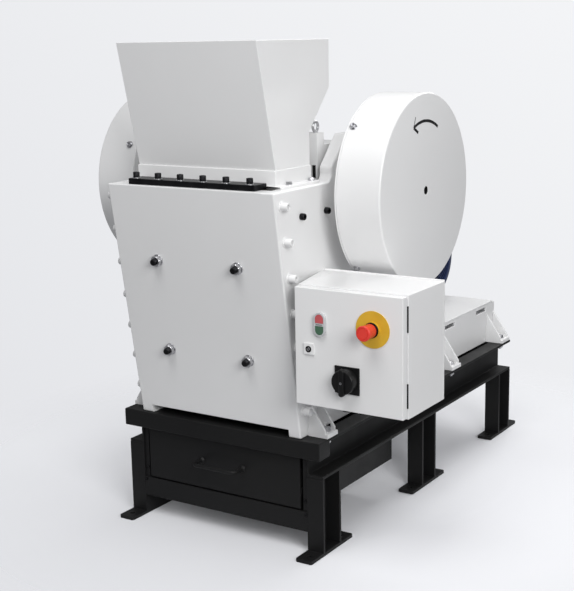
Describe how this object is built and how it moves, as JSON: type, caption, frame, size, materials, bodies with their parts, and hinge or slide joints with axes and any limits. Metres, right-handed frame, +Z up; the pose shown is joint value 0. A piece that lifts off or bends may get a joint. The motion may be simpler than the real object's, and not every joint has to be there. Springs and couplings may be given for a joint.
{
  "type": "jaw crusher",
  "caption": "Floor-standing jaw crusher: open feed hopper over the jaws, round flywheel guards, belt-driven motor behind, side control cabinet and collecting drawer in a black steel frame.",
  "frame": {"origin": "on the floor at the centre of the foot bolts: the machine's middle plane, halfway along the base frame", "axes": "+X to the side with the control cabinet, +Y from the drawer front towards the motor, +Z up"},
  "size_m": [1.0515, 1.431, 1.319],
  "materials": {
    "white_paint": "light grey-white gloss enamel",
    "black_paint": "satin black enamel",
    "blue_paint": "dark blue motor enamel",
    "black_steel": "black-oxide steel",
    "jaw_steel": "cast manganese steel",
    "bright_steel": "zinc-plated and ground steel",
    "lock_metal": "plated die casting",
    "grey_plastic": "light grey plastic",
    "green_plastic": "green plastic",
    "red_plastic": "red plastic",
    "yellow_plastic": "yellow plastic",
    "black_plastic": "black plastic"
  },
  "bodies": {
    "base": {"bearing_housings": "white_paint", "belt_guard": "white_paint", "cabinet_body": "white_paint", "cabinet_brackets": "white_paint", "cable_glands": "black_plastic", "clamp_bar": "black_steel", "crusher_feet": "white_paint", "drawer_housing": "black_paint", "fixed_jaw_plate": "jaw_steel", "flywheel_guard_left": "white_paint", "flywheel_guard_right": "white_paint", "front_apron": "black_paint", "front_cross_beam": "black_paint", "front_legs": "black_paint", "front_wall": "white_paint", "guard_backs": "white_paint", "hopper": "white_paint", "housing_feet": "white_paint", "housing_top_plate": "white_paint", "lifting_eye": "bright_steel", "long_beam_left": "black_paint", "long_beam_right": "black_paint", "main_shaft": "bright_steel", "middle_legs": "black_paint", "motor_body": "blue_paint", "motor_fan_cover": "blue_paint", "motor_rails": "white_paint", "motor_terminal_box": "blue_paint", "moving_jaw_plate": "jaw_steel", "rear_cover": "white_paint", "rear_cross_beam": "black_paint", "rear_housing": "white_paint", "rear_legs": "black_paint", "side_plate_left": "white_paint", "side_plate_right": "white_paint", "swing_jaw": "white_paint"},
    "drawer": {"drawer": "black_paint", "drawer_handle": "black_paint"},
    "door": {"cabinet_door": "white_paint", "button_bezel": "grey_plastic", "estop_disc": "yellow_plastic", "switch_plate": "black_plastic", "lock_plate": "white_paint"},
    "start_button": {"start_button": "green_plastic"},
    "stop_button": {"stop_button": "red_plastic"},
    "estop_button": {"estop_button": "red_plastic"},
    "switch_knob": {"switch_knob": "black_plastic"},
    "lock_cylinder": {"lock_cylinder": "lock_metal"}
  },
  "joints": [
    {"name": "drawer_slide", "type": "slide", "parent": "base", "child": "drawer", "axis": [0, -1, 0], "range_m": [0, 0.4]},
    {"name": "door_hinge", "type": "hinge", "parent": "base", "child": "door", "pos_m": [0.595, -0.7035, 0.586], "axis": [0, 0, 1], "range_deg": [0, 125]},
    {"name": "start_press", "type": "slide", "parent": "door", "child": "start_button", "axis": [0, 1, 0], "range_m": [0, 0.003], "stiffness_N_per_m": 300, "springref_m": -0.001},
    {"name": "stop_press", "type": "slide", "parent": "door", "child": "stop_button", "axis": [0, 1, 0], "range_m": [0, 0.003], "stiffness_N_per_m": 300, "springref_m": -0.001},
    {"name": "estop_press", "type": "slide", "parent": "door", "child": "estop_button", "axis": [0, 1, 0], "range_m": [0, 0.004]},
    {"name": "switch_turn", "type": "hinge", "parent": "door", "child": "switch_knob", "pos_m": [0.448, -0.7145, 0.5175], "axis": [0, -1, 0], "range_deg": [0, 90]},
    {"name": "lock_turn", "type": "hinge", "parent": "door", "child": "lock_cylinder", "pos_m": [0.3415, -0.7085, 0.5825], "axis": [0, -1, 0], "range_deg": [-90, 0]}
  ]
}
